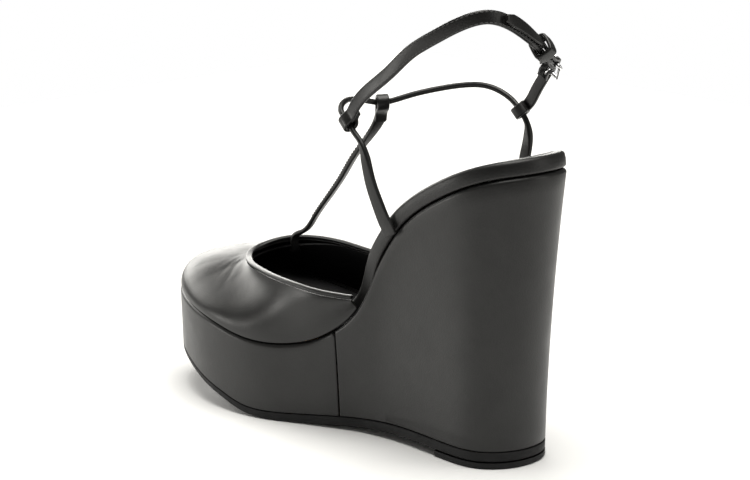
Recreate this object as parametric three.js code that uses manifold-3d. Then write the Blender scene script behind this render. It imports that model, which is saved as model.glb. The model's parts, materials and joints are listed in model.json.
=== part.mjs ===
// A black leather wedge sandal for the right foot: closed toe, open waist, and a buckled strap round the ankle.
// Units are millimetres. +Z is up, the toe points along -Y and the inner side of the foot is +X.
// Inside this file a place is given as [x, t, z], where t is the distance from the back of the heel.
import * as THREE from "three";
import { mergeVertices } from "three/addons/utils/BufferGeometryUtils.js";
import Module from "manifold-3d";

const wasm = await Module();
wasm.setup();

// ---- Driving dimensions ----------------------------------------------------------------
const LENGTH = 218.4;
const GAP = 0.3;
const COVER = 1.2;
const EDGE_RADIUS = 2;
const FLANGE = 4.5;
const RIM_HEIGHT = 7;
const RIM_LEATHER = 0.9;
const RIM_OVERHANG = 0.3;
const INSIDE_VAMP = 4.5;
const TOE_INSET = 2.3;
const UPPER = 1.2;
const PUFF = 0.9;
const LINING = 0.8;
const BEAD = 0.8;
const CORD_RADIUS = 1.25;
const LOOP_LEATHER = 0.8;
const LOOP_PLAY = 0.6;
const BAR_RADIUS = 0.9;
const SEAM_STATION = 8.6;
const VAMP_START = 7.4;
const WALL_HOLLOW = 1.2;
const STATION_STEP = 0.5;

// Half the stations of an outline: station 0 is the back of the heel and HALF is the tip of the toe.
const HALF = 17;
const STATIONS = 2 * HALF;

// ---- Outlines and profiles -------------------------------------------------------------
// The feather line, where the upper and footbed meet the wedge, seen from above: [x, t].
const FEATHER = [
  [0, 0], [14, 4], [24.5, 17], [27.2, 34], [27, 50], [26.2, 63], [25.4, 73], [25, 82], [25.4, 92],
  [27.8, 104], [32.5, 118], [38, 133], [40.4, 150], [39.2, 168.5], [33.5, 186], [24.3, 201.5], [13.6, 212.5],
  [2.2, 218],
  [-8, 214.5], [-18.5, 205], [-26.8, 193], [-33.6, 179], [-38.5, 160], [-40.6, 142], [-39.2, 124],
  [-36, 106], [-33.3, 92], [-31.5, 82], [-30.4, 73], [-29.6, 63], [-28.9, 50], [-28, 34], [-24.5, 17],
  [-14, 4],
];
// The outline of the sole on the ground, station by station.
const TREAD = [
  [0, 8.5], [11.5, 11.2], [20, 20], [21.4, 35], [19.8, 50], [18.6, 63], [18.3, 73], [18.8, 82], [20.6, 92],
  [24.8, 104], [30.3, 118], [36.4, 133], [39.2, 150], [38.3, 168.5], [32.6, 186], [23.6, 201.3], [13.1, 212],
  [2.2, 217.4],
  [-7.5, 214], [-18, 204.5], [-26, 192.5], [-32.6, 178.6], [-37.3, 160], [-39.2, 142], [-37.6, 124],
  [-34, 106], [-30.8, 92], [-28.6, 82], [-27, 73], [-25.8, 63], [-24.6, 50], [-23.2, 35], [-20, 20],
  [-11.5, 11.2],
];
// The top edge of the toe piece from the inner waist, round the throat, to the outer waist: [x, t, z].
const TOPLINE = [
  [26.3, 82.5, 62.6], [30.2, 92, 62.9], [33.1, 103, 63.3], [33.4, 116, 63.9], [31, 131, 64],
  [26, 146.5, 63.7], [19.5, 160.5, 63.3], [12.5, 170, 63.4], [7, 174.8, 63.9], [2.5, 176.8, 64.4],
  [-2, 177.3, 65.2],
  [-6.5, 176.3, 66.2], [-11, 174, 67.3], [-16, 169.5, 68.2], [-21.5, 162, 68.3], [-27, 153, 67.3],
  [-31, 142, 65.4], [-33.8, 127, 63.4], [-34.8, 109, 62.6], [-33.8, 94, 62.5], [-31.7, 83, 62.6],
];
// Height of the feather line against t.
const featherHeight = profile([
  [-8, 126], [0, 124.8], [9, 123.1], [20, 119.5], [35.5, 112.3], [48, 105], [58, 97.2], [64.5, 90.2],
  [71, 81.4], [76, 73], [82, 62.2], [90, 52], [98.3, 45.3], [107, 40.1], [116, 36.9], [125, 35.4],
  [134, 35.2], [143.6, 36], [155.5, 38.2], [168, 40.6], [184, 42.8], [201, 44.6], [218, 45.6], [226, 46],
]);
// Height of the underside of the outsole, and how thick the outsole is there.
const treadHeight = profile([
  [0, 3], [45, 3], [60, 3.2], [75, 2.9], [88, 2.3], [100, 1.6], [112, 0.8], [122, 0.2], [134, 0.2],
  [145, 1.5], [155, 4.6], [168, 8.6], [184, 13.3], [202, 16.8], [218, 19],
]);
const soleThickness = profile([[0, 4.2], [60, 4.2], [90, 4.1], [130, 3.7], [170, 2.8], [200, 2.4], [215, 2.3]]);

// ---- Shape helpers ---------------------------------------------------------------------
// A smooth function through [t, value] points: cubic pieces whose slopes come from the neighbours.
function profile(points) {
  const slope = points.map((_, i) => {
    const a = points[Math.max(i - 1, 0)];
    const b = points[Math.min(i + 1, points.length - 1)];
    return (b[1] - a[1]) / (b[0] - a[0]);
  });
  return (t) => {
    let i = 0;
    while (i < points.length - 2 && t > points[i + 1][0]) i += 1;
    const [t0, v0] = points[i];
    const [t1, v1] = points[i + 1];
    const span = t1 - t0;
    const r = THREE.MathUtils.clamp((t - t0) / span, 0, 1);
    const rise = r * r * (3 - 2 * r);
    return v0 + (v1 - v0) * rise + span * r * (1 - r) * (slope[i] * (1 - r) - slope[i + 1] * r);
  };
}

function place(x, t, z) {
  return new THREE.Vector3(x, LENGTH / 2 - t, z);
}

function direction(x, t, z) {
  return new THREE.Vector3(x, -t, z).normalize();
}

function curve(points, closed = false) {
  return new THREE.CatmullRomCurve3(points.map(([x, t, z = 0]) => place(x, t, z)), closed);
}

const smooth = THREE.MathUtils.smoothstep;
const featherCurve = curve(FEATHER, true);
const treadCurve = curve(TREAD, true);
const toplineCurve = curve(TOPLINE);

// The level direction that points straight out of an outline at a station.
function outward(outline, station) {
  const along = outline.getTangent((((station / STATIONS) % 1) + 1) % 1);
  return new THREE.Vector3(-along.y, along.x, 0).normalize();
}

function onOutline(outline, station, inset) {
  const point = outline.getPoint((((station / STATIONS) % 1) + 1) % 1);
  return point.addScaledVector(outward(outline, station), -inset);
}

// Square to the slope of the footbed at a distance t from the heel.
function bedNormal(t) {
  const step = 0.5;
  const fall = (featherHeight(t + step) - featherHeight(t - step)) / (2 * step);
  return direction(0, -fall, 1);
}

// A point above the footbed's underside: inset from the feather line and lifted square to its slope.
function bed(station, inset, lift) {
  const point = onOutline(featherCurve, station, inset);
  const t = LENGTH / 2 - point.y;
  point.z = featherHeight(t);
  return point.addScaledVector(bedNormal(t), lift);
}

function ground(station, inset, rise) {
  const point = onOutline(treadCurve, station, inset);
  const t = LENGTH / 2 - point.y;
  point.z = treadHeight(t) + rise(t);
  return point;
}

// The side wall: share 0 is just above the outsole and 1 is the feather line.
function wall(station, share, inset) {
  const low = ground(station, inset, (t) => soleThickness(t) + GAP);
  const high = bed(station, inset, 0);
  const t = LENGTH / 2 - high.y;
  const hollow = WALL_HOLLOW * (1 - smooth(t, 70, 110)) * 4 * share * (1 - share);
  return low.lerp(high, share).addScaledVector(outward(featherCurve, station), -hollow);
}

// Joins cross-sections into one closed body. A section is two rows of points, a and b, that face each
// other; the body runs through them in turn, and is capped at both ends unless it closes on itself.
function loft(sections, closed = false) {
  const rows = sections[0].a.length;
  const ringSize = 2 * rows;
  const positions = [];
  for (const { a, b } of sections) {
    for (const point of [...a, ...[...b].reverse()]) positions.push(point.x, point.y, point.z);
  }
  const triangles = [];
  const quad = (p, q, r, s) => triangles.push(p, q, r, p, r, s);
  const joins = closed ? sections.length : sections.length - 1;
  for (let i = 0; i < joins; i += 1) {
    const here = i * ringSize;
    const next = ((i + 1) % sections.length) * ringSize;
    for (let j = 0; j < ringSize; j += 1) {
      const k = (j + 1) % ringSize;
      // The last strip is split the other way, so that stacked slabs have matching facets.
      if (k === 0) quad(next + j, next + k, here + k, here + j);
      else quad(here + j, next + j, next + k, here + k);
    }
  }
  if (!closed) {
    const last = (sections.length - 1) * ringSize;
    for (let j = 0; j < rows - 1; j += 1) {
      const mate = ringSize - 1 - j;
      quad(j, j + 1, mate - 1, mate);
      quad(last + mate, last + mate - 1, last + j + 1, last + j);
    }
  }
  return outwardFacing(positions, triangles);
}

function outwardFacing(positions, triangles) {
  const corner = (i) => new THREE.Vector3().fromArray(positions, 3 * i);
  let volume = 0;
  for (let i = 0; i < triangles.length; i += 3) {
    volume += corner(triangles[i]).dot(corner(triangles[i + 1]).cross(corner(triangles[i + 2])));
  }
  if (volume < 0) triangles.reverse();
  const geometry = new THREE.BufferGeometry();
  geometry.setAttribute("position", new THREE.Float32BufferAttribute(positions, 3));
  geometry.setIndex(triangles);
  geometry.computeVertexNormals();
  return geometry;
}

function range(from, to, count) {
  return Array.from({ length: count + 1 }, (_, i) => from + ((to - from) * i) / count);
}

// Stations between two ends, taken from one grid so that neighbouring pieces have matching facets.
function grid(from, to) {
  const first = Math.floor(from / STATION_STEP) + 1;
  const stations = [from];
  for (let i = first; i * STATION_STEP < to - 0.02; i += 1) stations.push(i * STATION_STEP);
  return [...stations, to];
}

// A slab that runs from heel to toe between the two sides of an outline.
function slab(stations, side) {
  return loft(stations.map((station) => ({ a: side(station), b: side(STATIONS - station) })));
}

function toSolid(geometry) {
  const bare = new THREE.BufferGeometry();
  bare.setAttribute("position", geometry.getAttribute("position"));
  bare.setIndex(geometry.getIndex());
  const merged = mergeVertices(bare, 1e-3);
  return new wasm.Manifold(
    new wasm.Mesh({
      numProp: 3,
      vertProperties: merged.getAttribute("position").array,
      triVerts: new Uint32Array(merged.getIndex().array),
    }),
  );
}

function cut(geometry, tools) {
  const solid = tools.reduce((body, tool) => body.subtract(toSolid(tool)), toSolid(geometry));
  const mesh = solid.getMesh();
  return outwardFacing(Array.from(mesh.vertProperties), Array.from(mesh.triVerts));
}

// ---- Materials and the assembly --------------------------------------------------------
const finishes = {
  leather: { color: 0x161616, roughness: 0.42, metalness: 0 },
  lining: { color: 0x0d0d0d, roughness: 0.7, metalness: 0 },
  rubber: { color: 0x232323, roughness: 0.75, metalness: 0 },
  core: { color: 0xb08a5c, roughness: 0.9, metalness: 0 },
  board: { color: 0x8d7355, roughness: 0.9, metalness: 0 },
  foam: { color: 0xd9d4c8, roughness: 0.95, metalness: 0 },
  steel: { color: 0x9a9a9a, roughness: 0.4, metalness: 1 },
  silver: { color: 0xe6e6e6, roughness: 0.15, metalness: 1 },
};
const shoe = new THREE.Group();

function add(name, finish, geometry) {
  const mesh = new THREE.Mesh(geometry, new THREE.MeshStandardMaterial(finishes[finish]));
  mesh.name = name;
  shoe.add(mesh);
  return mesh;
}

// ---- Sole and wedge --------------------------------------------------------------------
const HEEL_END = 0.12;
const TOE_END = HALF - 0.12;
const TOPLIFT_FRONT = 3.6;
const TOPLIFT_BEVEL = 0.9;
const lengthwise = grid(HEEL_END, TOE_END);

function outsole() {
  return slab(lengthwise, (station) => [
    ground(station, 1, () => 0),
    ground(station, 0.1, () => 0.8),
    ground(station, 0, soleThickness),
  ]);
}

function heelToplift() {
  const bevel = TOPLIFT_BEVEL;
  const stations = grid(HEEL_END, TOPLIFT_FRONT);
  return slab(stations, (station) => {
    const low = ground(station, bevel, () => 0);
    const middle = ground(station, 0, () => 0);
    const high = ground(station, 0, () => -GAP);
    low.z = 0;
    middle.z = bevel;
    if (station === TOPLIFT_FRONT) low.y += bevel;
    return [low, middle, high];
  });
}

// The leather skin of the wedge or platform: up the wall, round the edge and in under the footbed.
function cover(from, to) {
  const skin = (station, depth) => [
    wall(station, 0, depth),
    wall(station, 0.3, depth),
    wall(station, 0.6, depth),
    bed(station, depth, -EDGE_RADIUS),
    bed(station, EDGE_RADIUS * 0.3 + depth * 0.7, -EDGE_RADIUS * 0.3 - depth * 0.7),
    bed(station, EDGE_RADIUS, -depth),
    bed(station, FLANGE, -depth),
  ];
  return loft(grid(from, to).map((station) => ({ a: skin(station, 0), b: skin(station, COVER) })));
}

// The block inside a cover, with a raised middle that fills the space inside the cover's flange.
function core(from, to) {
  const depth = COVER + GAP;
  return slab(grid(from, to), (station) => [
    wall(station, 0, depth),
    wall(station, 0.3, depth),
    wall(station, 0.6, depth),
    bed(station, depth, -EDGE_RADIUS),
    bed(station, EDGE_RADIUS * 0.3 + depth * 0.8, -EDGE_RADIUS * 0.3 - depth * 0.8),
    bed(station, FLANGE + GAP, -depth),
    bed(station, FLANGE + 2 * GAP, -0.1),
  ]);
}

const SEAM_GAP = 0.04;
add("outsole", "rubber", outsole());
add("heel_toplift", "rubber", heelToplift());
add("wedge_cover", "leather", cover(SEAM_GAP - SEAM_STATION, SEAM_STATION - SEAM_GAP));
add("platform_cover", "leather", cover(SEAM_STATION, STATIONS - SEAM_STATION));
add("platform_core", "core", core(SEAM_STATION, TOE_END - 0.3));

// ---- Footbed ---------------------------------------------------------------------------
const BOARD_LOW = GAP + RIM_LEATHER + GAP;
const BOARD_HIGH = 3.6;
const BOARD_INSET = 2.3;
const CUSHION_HIGH = 5.7;
const SOCK_LOW = 6;

// How far the footbed's edge stands in from the feather line: it steps in where the toe piece begins.
function bedInset(station) {
  const t = LENGTH / 2 - onOutline(featherCurve, station, 0).y;
  const inside = (INSIDE_VAMP + RIM_OVERHANG) * smooth(t, 70, 86);
  return inside - RIM_OVERHANG + TOE_INSET * smooth(t, 118, 182);
}

function footbedRim() {
  const top = RIM_HEIGHT;
  const leather = RIM_LEATHER;
  const section = (station) => {
    const edge = bedInset(station);
    return {
      a: [
        bed(station, edge + 4, GAP),
        bed(station, edge + 1.5, GAP),
        bed(station, edge + 0.1, 1.6),
        bed(station, edge - 0.15, top / 2),
        bed(station, edge + 0.1, top - 1.6),
        bed(station, edge + 1.5, top),
        bed(station, edge + FLANGE, top),
      ],
      b: [
        bed(station, edge + 4, GAP + leather),
        bed(station, edge + 2, GAP + leather),
        bed(station, edge + 1.05, 2),
        bed(station, edge + 0.8, top / 2),
        bed(station, edge + 1.05, top - 2),
        bed(station, edge + 2, top - leather),
        bed(station, edge + FLANGE, top - leather),
      ],
    };
  };
  return loft(range(0, STATIONS - 0.5, 67).map(section), true);
}

function footbedLayer(inset, low, high) {
  return slab(lengthwise, (station) => {
    const edge = bedInset(station) + inset;
    return [bed(station, edge, low), bed(station, edge, high)];
  });
}

// A flat steel strip under the board, along the middle of the waist.
function shank() {
  const [low, high, halfWidth, round] = [0.25, 1.2, 6, 3];
  const stations = range(22, 112, 18);
  const sections = stations.map((t, i) => {
    const end = Math.min(i, stations.length - 1 - i);
    const half = end === 0 ? halfWidth - round : halfWidth;
    const at = (x, lift) => place(x - 1, t, featherHeight(t)).addScaledVector(bedNormal(t), lift);
    return { a: [at(half, low), at(half, high)], b: [at(-half, low), at(-half, high)] };
  });
  return loft(sections);
}

// A screw or nail: a countersunk head on a pointed stem, as a profile [radius, height] spun about Z.
function fastenerShape(head, stem, length, play) {
  const profilePoints = [
    [0, -length - play],
    [stem + play, -length + 2 * stem],
    [stem + play, -1.4 - play],
    [head + play, -play],
    [head + play, 0.5 + 2 * play],
    [0, 0.5 + 2 * play],
  ];
  return new THREE.LatheGeometry(profilePoints.map(([r, z]) => new THREE.Vector2(r, z)), 12).rotateX(Math.PI / 2);
}

function fastenerPose(x, t) {
  const seat = BOARD_HIGH - 0.9;
  const normal = bedNormal(t);
  const turn = new THREE.Quaternion().setFromUnitVectors(new THREE.Vector3(0, 0, 1), normal);
  const point = place(x, t, featherHeight(t)).addScaledVector(normal, seat);
  return new THREE.Matrix4().compose(point, turn, new THREE.Vector3(1, 1, 1));
}

const HEEL_FASTENERS = [
  { name: "heel_screw", x: 0, t: 17, head: 3.6, stem: 2, length: 24 },
  { name: "heel_nail_1", x: 13, t: 20, head: 2, stem: 1, length: 18 },
  { name: "heel_nail_2", x: -13, t: 20, head: 2, stem: 1, length: 18 },
  { name: "heel_nail_3", x: 13, t: 34, head: 2, stem: 1, length: 18 },
  { name: "heel_nail_4", x: -13, t: 34, head: 2, stem: 1, length: 18 },
];
const heelHoles = HEEL_FASTENERS.map(({ x, t, head, stem, length }) =>
  fastenerShape(head, stem, length, GAP).applyMatrix4(fastenerPose(x, t)),
);
for (const { name, x, t, head, stem, length } of HEEL_FASTENERS) {
  add(name, "steel", fastenerShape(head, stem, length, 0)).applyMatrix4(fastenerPose(x, t));
}
add("wedge_core", "core", cut(core(HEEL_END + 0.2, SEAM_STATION - SEAM_GAP), heelHoles));
add("insole_board", "board", cut(footbedLayer(BOARD_INSET, BOARD_LOW, BOARD_HIGH), heelHoles));
add("shank", "steel", shank());
add("footbed_rim", "leather", footbedRim());
add("footbed_cushion", "foam", footbedLayer(BOARD_INSET, BOARD_HIGH + GAP, CUSHION_HIGH));
add("sock_lining", "lining", footbedLayer(FLANGE + GAP, SOCK_LOW, RIM_HEIGHT - 0.1));

// ---- Toe piece -------------------------------------------------------------------------
// A rib runs over the toe piece from the feather line (share 0) to just under the topline (share 1).
function rib(station) {
  const toe = smooth(5 - Math.abs(station - HALF), 0, 5);
  const foot = bed(station, 0.25, GAP + 0.1);
  const topAt = (station - 7) / (TOPLINE.length - 1);
  const top = toplineCurve.getPoint(topAt);
  const along = toplineCurve.getTangent(topAt);
  const away = new THREE.Vector3(-along.y, along.x, 0).normalize();
  const side = outward(featherCurve, station);
  top.z -= 2 * BEAD + GAP;
  const height = top.z - foot.z;
  const bulge = foot.clone().addScaledVector(side, 0.09 * height);
  bulge.z += height * (0.38 + 0.22 * toe);
  const shoulder = top.clone().addScaledVector(away, THREE.MathUtils.lerp(0.1 * height, 26, toe));
  shoulder.z -= THREE.MathUtils.lerp(0.34 * height, 2.5, toe);
  return new THREE.CubicBezierCurve3(foot, bulge, shoulder, top);
}

// A point on the toe piece, offset square to its surface: depth is measured inwards.
function vamp(station, share, depth) {
  const step = 0.02;
  const here = rib(station).getPoint(share);
  const up = rib(station).getTangent(share);
  const across = rib(station + step).getPoint(share).sub(rib(station - step).getPoint(share));
  return here.addScaledVector(across.cross(up).normalize(), depth);
}

function vampShell(from, to, shares, depthAt, thickness) {
  const sections = grid(from, to).map((station) => ({
    a: shares.map((share) => vamp(station, share, depthAt(station))),
    b: shares.map((share) => vamp(station, share, depthAt(station) + thickness)),
  }));
  return loft(sections);
}

// The lining stands further in at the toe, where the stiff puff lies between it and the leather.
function liningDepth(station) {
  const nearToe = 1 - smooth(Math.abs(station - HALF), 4.2, 5.6);
  return UPPER + GAP + (PUFF + GAP) * nearToe;
}

function toplineBead() {
  const from = (VAMP_START - 7) / (TOPLINE.length - 1);
  const sections = range(from, 1 - from, 44).map((share) => {
    const along = toplineCurve.getTangent(share);
    const away = new THREE.Vector3(-along.y, along.x, 0).normalize();
    const centre = toplineCurve.getPoint(share).addScaledVector(away, -1.2);
    centre.z -= BEAD;
    return beltSection(centre, away, new THREE.Vector3(0, 0, 1), 1.5, BEAD, 0.5);
  });
  return loft(sections);
}

// A flat or round section with its corners taken off: half is half its width and thin half its thickness.
function beltSection(centre, across, normal, half, thin, chamfer) {
  const at = (x, y) => centre.clone().addScaledVector(across, x).addScaledVector(normal, y);
  return {
    a: [at(half, thin - chamfer), at(half - chamfer, thin), at(chamfer - half, thin), at(-half, thin - chamfer)],
    b: [at(half, chamfer - thin), at(half - chamfer, -thin), at(chamfer - half, -thin), at(-half, chamfer - thin)],
  };
}

const ribShares = [0, 0.14, 0.3, 0.48, 0.66, 0.83, 1];
add(
  "vamp_upper", "leather",
  vampShell(VAMP_START, STATIONS - VAMP_START, ribShares, () => 0, UPPER),
);
add(
  "vamp_lining", "lining",
  vampShell(VAMP_START + 0.9, STATIONS - VAMP_START - 0.9, ribShares, liningDepth, LINING),
);
add(
  "toe_puff", "board",
  vampShell(HALF - 3.6, HALF + 3.6, [0.03, 0.14, 0.3, 0.48, 0.62], () => UPPER + GAP, PUFF),
);
add("topline_binding", "leather", toplineBead());

// ---- Straps ----------------------------------------------------------------------------
// A strap follows its knots. A knot is [place, facing, half width, half thickness]: facing points out of
// the strap's face.
function strap(knots, stepsPerKnot) {
  const path = new THREE.CatmullRomCurve3(knots.map((knot) => knot[0]));
  const last = knots.length - 1;
  const sections = range(0, 1, last * stepsPerKnot).map((share) => {
    const index = Math.min(Math.floor(share * last + 1e-9), last - 1);
    const blend = share * last - index;
    const [before, after] = [knots[index], knots[index + 1]];
    const along = path.getTangent(share);
    const facing = before[1].clone().lerp(after[1], blend);
    facing.addScaledVector(along, -facing.dot(along)).normalize();
    const half = THREE.MathUtils.lerp(before[2], after[2], blend);
    const thin = THREE.MathUtils.lerp(before[3], after[3], blend);
    const across = new THREE.Vector3().crossVectors(along, facing);
    return beltSection(path.getPoint(share), across, facing, half, thin, Math.min(half, thin) * 0.58);
  });
  return loft(sections);
}

// Knots of a strap end that is folded round something round: a short tail, the bend, then the strap.
// along runs from the bend up the strap, and facing is the strap's outer face there.
function foldedEnd(centre, along, facing, radius, tail, half, thin) {
  const layer = thin + GAP / 2;
  const knots = [];
  const put = (a, n, face) => {
    const point = centre.clone().addScaledVector(along, a).addScaledVector(facing, n);
    knots.push([point, face, half, thin]);
  };
  const inner = facing.clone().negate();
  put(tail, -layer, inner);
  put(radius + 1.6, -layer - 0.05, inner);
  for (const degrees of range(-120, -240, 4)) {
    const angle = THREE.MathUtils.degToRad(degrees);
    const face = along.clone().multiplyScalar(Math.cos(angle)).addScaledVector(facing, Math.sin(angle));
    put(radius * Math.cos(angle), radius * Math.sin(angle), face);
  }
  knots.splice(2, 0, bulgeKnot(centre, along, inner, radius, half, thin));
  knots.push(bulgeKnot(centre, along, facing, radius, half, thin));
  put(radius + 1.6, layer + 0.05, facing);
  put(tail, layer, facing);
  return knots;
}

// Where the fold leaves the round thing and closes up towards the tail.
function bulgeKnot(centre, along, face, radius, half, thin) {
  const point = centre.clone().addScaledVector(along, 0.35 * radius).addScaledVector(face, 0.93 * radius);
  return [point, face, half, thin];
}

const T_STATION = 20.1;
const LOOP_RADIUS = CORD_RADIUS + LOOP_PLAY + LOOP_LEATHER;
const loopAt = {
  inner: place(30, 85.2, 137.6),
  outer: place(-32.6, 46.5, 139.4),
  front: place(-1.6, 97.6, 140.1),
};
const ankleAxis = place(-1, 52, 0);

// The level direction from the middle of the ankle to a place.
function aroundAnkle(point) {
  return new THREE.Vector3(point.x - ankleAxis.x, point.y - ankleAxis.y, 0).normalize();
}

// One strap of folded leather from the inner waist, over the instep, to the outer side of the heel.
function insideCord() {
  const flat = (x, t, z, half, thin, side) => [place(x, t, z), direction(side, 0, 0.12), half, thin];
  const round = (x, t, z) => [place(x, t, z), direction(x / 30, (t - 52) / 60, 0.3), CORD_RADIUS, CORD_RADIUS];
  return [
    flat(28.4, 61.7, 92.9, 3.4, 0.7, 1),
    flat(28.5, 63.2, 95.6, 3.3, 0.7, 1),
    flat(28.6, 65.3, 98.6, 3.2, 0.8, 1),
    flat(29, 68.6, 104.9, 3, 0.95, 1),
    flat(30, 71.9, 113.7, 2.7, 1.1, 1),
    flat(31, 74, 124, 2.2, 1.4, 1),
    round(31, 76.9, 130.4),
    round(30.6, 82.2, 134.8),
    [loopAt.inner, direction(1, 0.5, 0.3), CORD_RADIUS, CORD_RADIUS],
    round(28.6, 91, 141),
    round(26, 93.6, 143),
    round(22.3, 95.2, 144.1),
    round(17, 97.6, 143.9),
    round(10, 99.8, 142.6),
    round(3, 99.4, 140.8),
    [loopAt.front, direction(0, 0.8, 0.6), CORD_RADIUS, CORD_RADIUS],
    round(-5.5, 93.6, 141.3),
    round(-11, 88.4, 143.6),
    round(-18, 81.4, 145.9),
    round(-25, 71.8, 148),
    round(-29, 63.1, 148.3),
    round(-31.2, 55.3, 146),
    round(-32.2, 50, 142.8),
    [loopAt.outer, direction(-1, 0, 0.3), CORD_RADIUS, CORD_RADIUS],
    round(-34, 43.9, 134.2),
    flat(-34.2, 43.3, 130, 2, 1.5, -1),
    flat(-33, 43, 124, 2.6, 1.1, -1),
    flat(-31, 42.4, 118, 3, 0.8, -1),
    flat(-30.3, 41.2, 114, 3.2, 0.7, -1),
    flat(-30.2, 39.4, 111.1, 3.3, 0.7, -1),
  ];
}
const cordKnots = insideCord();
add("instep_cord", "leather", strap(cordKnots, 3));

// Which way the cord runs where a loop holds it.
function cordDirection(loop) {
  const index = cordKnots.findIndex((knot) => knot[0] === loop);
  const path = new THREE.CatmullRomCurve3(cordKnots.map((knot) => knot[0]));
  return path.getTangent(index / (cordKnots.length - 1));
}

// Axes of a strap end that is folded round the cord: along is the strap, square to the cord.
function loopAxes(loop, towards, outwards) {
  const cord = cordDirection(loop);
  const along = towards.clone().sub(loop);
  along.addScaledVector(cord, -along.dot(cord)).normalize();
  const facing = new THREE.Vector3().crossVectors(along, cord).normalize();
  if (facing.dot(outwards) < 0) facing.negate();
  return { along, facing };
}

// The strap that holds the cord down at the front: it comes out from under the toe piece.
function tStrap() {
  const { along, facing } = loopAxes(loopAt.front, place(-6, 118.5, 114.2), direction(0, 1, 0.5));
  const fold = foldedEnd(loopAt.front, along, facing, LOOP_RADIUS + 0.15, 11, 2.6, LOOP_LEATHER);
  const under = UPPER + LINING + PUFF + 4 * GAP + 0.9;
  const toplineAt = (T_STATION - 7) / (TOPLINE.length - 1);
  const edge = toplineCurve.getTangent(toplineAt);
  const inwards = new THREE.Vector3(edge.y, -edge.x, 0).normalize();
  const behindEdge = (inset, drop) => {
    const point = toplineCurve.getPoint(toplineAt).addScaledVector(inwards, inset);
    point.z -= drop;
    return [point, direction(-0.2, 0.8, 0.6), 1.8, 0.9];
  };
  const tucked = (share) => {
    const facingHere = vamp(T_STATION, share, 0).sub(vamp(T_STATION, share, 1)).normalize();
    return [vamp(T_STATION, share, under), facingHere, 3, 0.8];
  };
  const down = (x, t, z, half, thin) => [place(x, t, z), direction(0.2, 0.8, 0.6), half, thin];
  return strap(
    [
      ...fold,
      down(-6, 118.5, 114.2, 1.9, 1.1),
      down(-8.2, 128, 104, 1.9, 1.1),
      down(-11, 141, 91, 2, 1),
      down(-13.4, 153.4, 78.6, 1.9, 0.9),
      [place(-13.5, 160.4, 71.8), direction(0.1, 0.8, 0.6), 1.8, 0.9],
      behindEdge(5.2, 0),
      behindEdge(3.8, 5.6),
      tucked(0.88),
      tucked(0.76),
    ],
    3,
  );
}
add("t_strap", "leather", tStrap());

// Axes of the buckle: along runs down the strap to the bar it is folded round, facing points away from
// the ankle. The frame hangs from that bar at an angle to the strap.
const bar = place(-24, 21.3, 165.1);
const buckleAlong = direction(-0.813, 0.463, -0.356);
const buckleFacing = direction(-0.556, -0.427, 0.714);
buckleFacing.addScaledVector(buckleAlong, -buckleFacing.dot(buckleAlong)).normalize();
const buckleAcross = new THREE.Vector3().crossVectors(buckleFacing, buckleAlong);
const BAR_FOLD = BAR_RADIUS + GAP + LOOP_LEATHER;
const FRAME_LENGTH = 9.4;
const FRAME_HALF = 5.1;
const FRAME_TILT = THREE.MathUtils.degToRad(-25);
const SHORT_STRAP_OFFSET = 1.1;
const STRAP_HALF = 2.9;
const STRAP_THIN = 1.1;
const SHORT_HALF = 2.5;
const SHORT_THIN = 1;
const TAIL_HALF = 2.6;
const TAIL_THIN = 0.7;

function atBuckle(along, across, facing) {
  return bar
    .clone()
    .addScaledVector(buckleAlong, along)
    .addScaledVector(buckleAcross, across)
    .addScaledVector(buckleFacing, facing);
}

// The same axes turned inwards with the frame.
function atFrame(along, across, facing) {
  const [c, s] = [Math.cos(FRAME_TILT), Math.sin(FRAME_TILT)];
  return atBuckle(along * c - facing * s, across, along * s + facing * c);
}

// A slot through a fold, for the prong.
function prongSlot(centre, along, facing) {
  const slot = new THREE.BoxGeometry(BAR_FOLD * 3.2, 1.8, BAR_FOLD * 4);
  slot.applyMatrix4(new THREE.Matrix4().makeBasis(along, facing.clone().cross(along), facing));
  return slot.translate(...centre.toArray());
}

// The long strap round the back of the ankle: places on its middle line, and how far its face leans up.
const LONG_STRAP = [
  [32.5, 58.9, 161.6, 0], [32.2, 47.4, 171.1, 0], [30.6, 33.7, 179.4, 0],
  [26.5, 24.9, 184.7, 0.05], [19, 18.1, 187.5, 0.15], [10, 15.6, 185.3, 0.35], [2, 14.8, 180.8, 0.6],
  [-5, 15, 176, 0.85], [-12, 16.8, 171.2, 1],
];

function strapFacing(point, lean) {
  return aroundAnkle(point).add(new THREE.Vector3(0, 0, lean)).normalize();
}

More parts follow.
